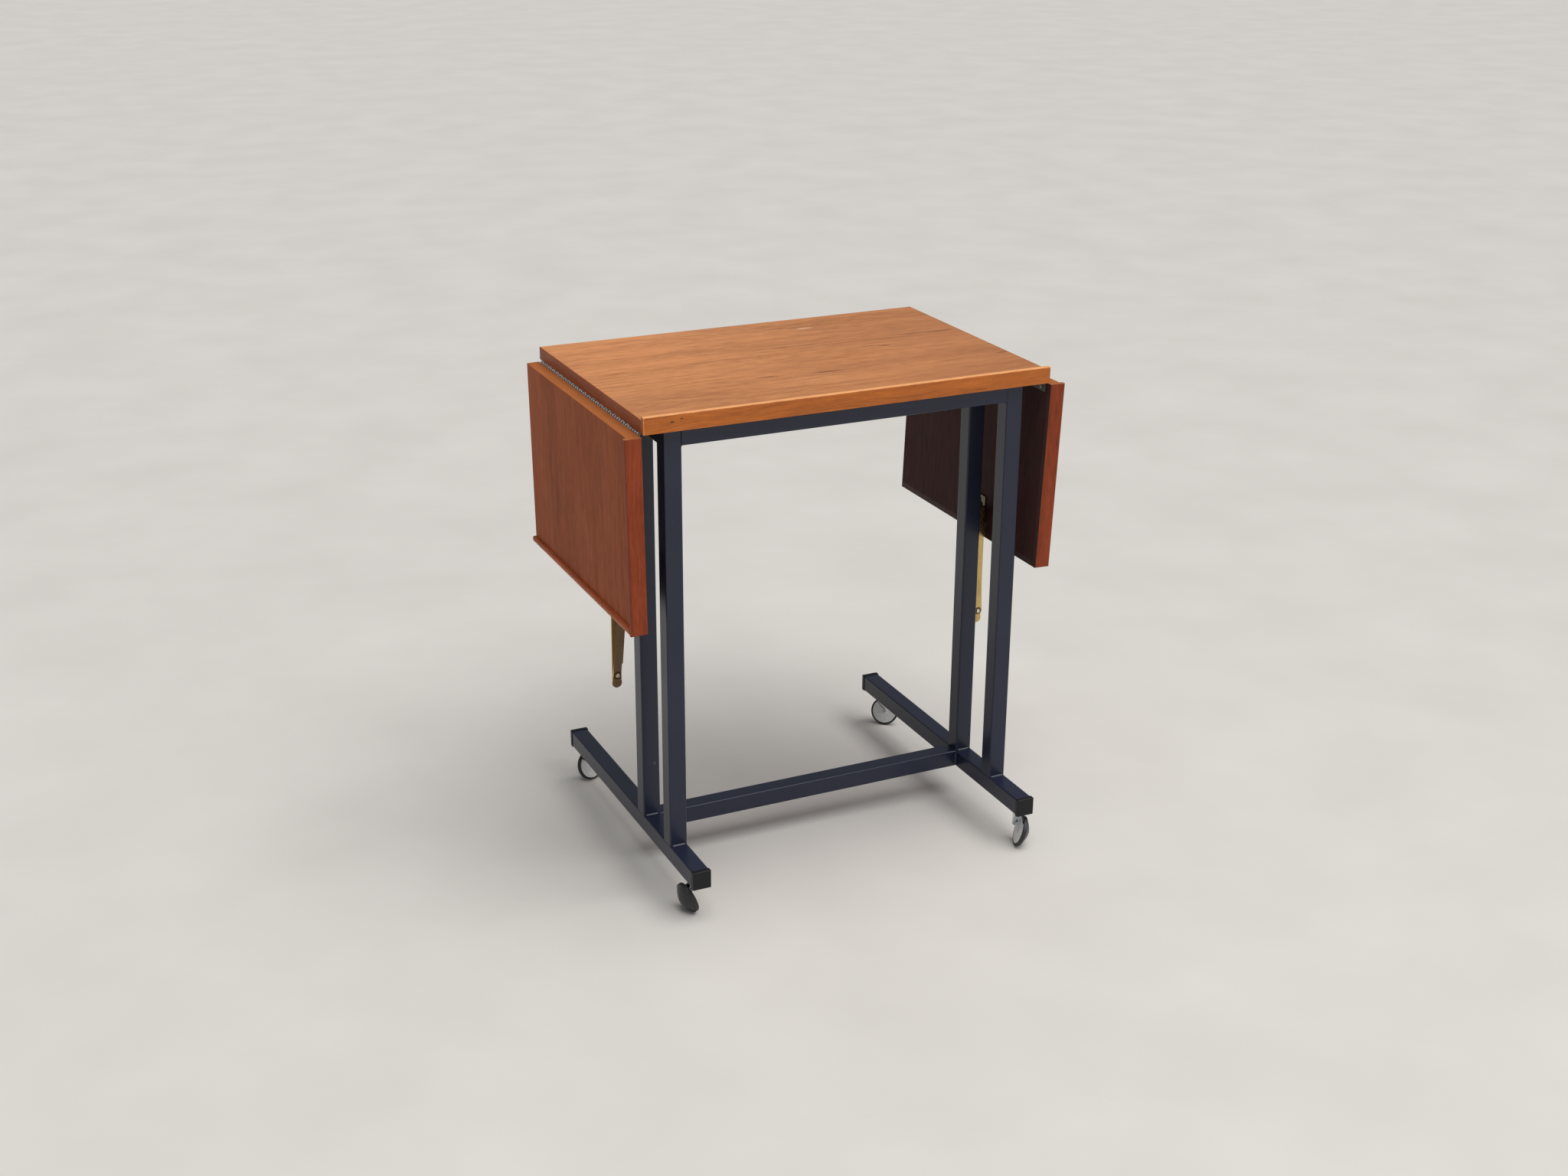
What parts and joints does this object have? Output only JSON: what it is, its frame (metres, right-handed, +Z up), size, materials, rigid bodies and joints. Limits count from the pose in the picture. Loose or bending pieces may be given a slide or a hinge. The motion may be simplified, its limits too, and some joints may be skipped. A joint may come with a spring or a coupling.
{
  "type": "serving trolley",
  "caption": "Drop-leaf serving trolley with a wooden top and hanging side leaves on a C-shaped square-tube frame with folding stays and disc casters.",
  "frame": {"origin": "on the floor under the middle of the whole trolley with both leaves hanging", "axes": "+Z up, +X to the right along the front lip as seen from the front, +Y from the front lip to the open back edge"},
  "size_m": [0.6474, 0.502, 0.698],
  "materials": {
    "teak_board": "oiled satin, grain along the board",
    "teak_lip": "oiled satin, grain along the strip",
    "frame_paint": "dark blue-grey semi-gloss enamel",
    "cap_plastic": "matte black",
    "socket_steel": "zinc plated",
    "hinge_nickel": "nickel plated",
    "screw_steel": "plated",
    "rivet_metal": "satin",
    "stay_brass": "satin, lightly tarnished",
    "caster_chrome": "bright plated",
    "axle_steel": "plated",
    "wheel_black": "semi-gloss black"
  },
  "bodies": {
    "frame": {"back_left_upright": "frame_paint", "back_right_upright": "frame_paint", "caster_sockets": "socket_steel", "floor_stretcher": "frame_paint", "frame_pivot_pins": "rivet_metal", "front_left_upright": "frame_paint", "front_right_upright": "frame_paint", "front_top_rail": "frame_paint", "hinge_top_screws": "screw_steel", "left_floor_rail": "frame_paint", "left_hinge_pin": "hinge_nickel", "left_hinge_top_plate": "hinge_nickel", "left_stay_frame_bracket": "stay_brass", "left_top_rail": "frame_paint", "rail_end_caps": "cap_plastic", "right_floor_rail": "frame_paint", "right_hinge_pin": "hinge_nickel", "right_hinge_top_plate": "hinge_nickel", "right_stay_frame_bracket": "stay_brass", "right_top_rail": "frame_paint", "stay_bracket_rivets": "rivet_metal", "top_front_lip": "teak_lip", "top_panel": "teak_board", "top_screws": "screw_steel"},
    "left_leaf": {"left_hinge_leaf_plate": "hinge_nickel", "left_hinge_leaf_screws": "screw_steel", "left_leaf_bracket_screws": "screw_steel", "left_leaf_end_lip": "teak_lip", "left_leaf_front_lip": "teak_lip", "left_leaf_panel": "teak_board", "left_leaf_pivot": "rivet_metal", "left_stay_leaf_bracket": "stay_brass"},
    "left_frame_arm": {"left_elbow_rivet": "rivet_metal", "left_frame_arm": "stay_brass"},
    "left_leaf_arm": {"left_leaf_arm": "stay_brass"},
    "right_leaf": {"right_hinge_leaf_plate": "hinge_nickel", "right_hinge_leaf_screws": "screw_steel", "right_leaf_bracket_screws": "screw_steel", "right_leaf_end_lip": "teak_lip", "right_leaf_front_lip": "teak_lip", "right_leaf_panel": "teak_board", "right_leaf_pivot": "rivet_metal", "right_stay_leaf_bracket": "stay_brass"},
    "right_frame_arm": {"right_elbow_rivet": "rivet_metal", "right_frame_arm": "stay_brass"},
    "right_leaf_arm": {"right_leaf_arm": "stay_brass"},
    "caster_front_left_swivel": {"caster_front_left_axle": "axle_steel", "caster_front_left_bracket": "caster_chrome"},
    "caster_front_left_wheel": {"caster_front_left_wheel": "wheel_black"},
    "caster_back_left_swivel": {"caster_back_left_axle": "axle_steel", "caster_back_left_bracket": "caster_chrome"},
    "caster_back_left_wheel": {"caster_back_left_wheel": "wheel_black"},
    "caster_front_right_swivel": {"caster_front_right_axle": "axle_steel", "caster_front_right_bracket": "caster_chrome"},
    "caster_front_right_wheel": {"caster_front_right_wheel": "wheel_black"},
    "caster_back_right_swivel": {"caster_back_right_axle": "axle_steel", "caster_back_right_bracket": "caster_chrome"},
    "caster_back_right_wheel": {"caster_back_right_wheel": "wheel_black"}
  },
  "joints": [
    {"name": "left_leaf_hinge", "type": "hinge", "parent": "frame", "child": "left_leaf", "pos_m": [-0.29849, 0.03303, 0.6728], "axis": [0, 1, 0], "range_deg": [0, 90.7]},
    {"name": "left_frame_arm_pivot", "type": "hinge", "parent": "frame", "child": "left_frame_arm", "pos_m": [-0.27549, -0.03172, 0.45729], "axis": [0, 1, 0], "range_deg": [0, 124]},
    {"name": "left_leaf_arm_pivot", "type": "hinge", "parent": "left_leaf", "child": "left_leaf_arm", "pos_m": [-0.28891, -0.02882, 0.4459], "axis": [0, 1, 0], "range_deg": [-139, 0]},
    {"name": "right_leaf_hinge", "type": "hinge", "parent": "frame", "child": "right_leaf", "pos_m": [0.29851, 0.03303, 0.6728], "axis": [0, -1, 0], "range_deg": [0, 92.1]},
    {"name": "right_frame_arm_pivot", "type": "hinge", "parent": "frame", "child": "right_frame_arm", "pos_m": [0.27551, -0.03172, 0.45802], "axis": [0, -1, 0], "range_deg": [0, 124]},
    {"name": "right_leaf_arm_pivot", "type": "hinge", "parent": "right_leaf", "child": "right_leaf_arm", "pos_m": [0.2834, -0.02882, 0.4462], "axis": [0, -1, 0], "range_deg": [-139, 0]},
    {"name": "caster_front_left_swivel", "type": "hinge", "parent": "frame", "child": "caster_front_left_swivel", "pos_m": [-0.25299, -0.21597, 0.05125], "axis": [0, 0, 1], "continuous": true},
    {"name": "caster_front_left_roll", "type": "hinge", "parent": "caster_front_left_swivel", "child": "caster_front_left_wheel", "pos_m": [-0.25988, -0.20441, 0.02187], "axis": [-0.9393, -0.1488, -0.309], "continuous": true},
    {"name": "caster_back_left_swivel", "type": "hinge", "parent": "frame", "child": "caster_back_left_swivel", "pos_m": [-0.25299, 0.22203, 0.05125], "axis": [0, 0, 1], "continuous": true},
    {"name": "caster_back_left_roll", "type": "hinge", "parent": "caster_back_left_swivel", "child": "caster_back_left_wheel", "pos_m": [-0.24295, 0.231, 0.02187], "axis": [-0.3253, 0.8937, -0.309], "continuous": true},
    {"name": "caster_front_right_swivel", "type": "hinge", "parent": "frame", "child": "caster_front_right_swivel", "pos_m": [0.25301, -0.21597, 0.05125], "axis": [0, 0, 1], "continuous": true},
    {"name": "caster_front_right_roll", "type": "hinge", "parent": "caster_front_right_swivel", "child": "caster_front_right_wheel", "pos_m": [0.25297, -0.22943, 0.02187], "axis": [0.8818, -0.3563, -0.309], "continuous": true},
    {"name": "caster_back_right_swivel", "type": "hinge", "parent": "frame", "child": "caster_back_right_swivel", "pos_m": [0.25301, 0.22203, 0.05125], "axis": [0, 0, 1], "continuous": true},
    {"name": "caster_back_right_roll", "type": "hinge", "parent": "caster_back_right_swivel", "child": "caster_back_right_wheel", "pos_m": [0.2658, 0.21783, 0.02187], "axis": [0.6113, 0.7286, -0.309], "continuous": true}
  ],
  "couplings": [
    {"joint": "left_frame_arm_pivot", "follows": "left_leaf_hinge", "ratio": 1.3505},
    {"joint": "left_leaf_arm_pivot", "follows": "left_leaf_hinge", "ratio": -1.5268},
    {"joint": "right_frame_arm_pivot", "follows": "right_leaf_hinge", "ratio": 1.3379},
    {"joint": "right_leaf_arm_pivot", "follows": "right_leaf_hinge", "ratio": -1.5004}
  ]
}
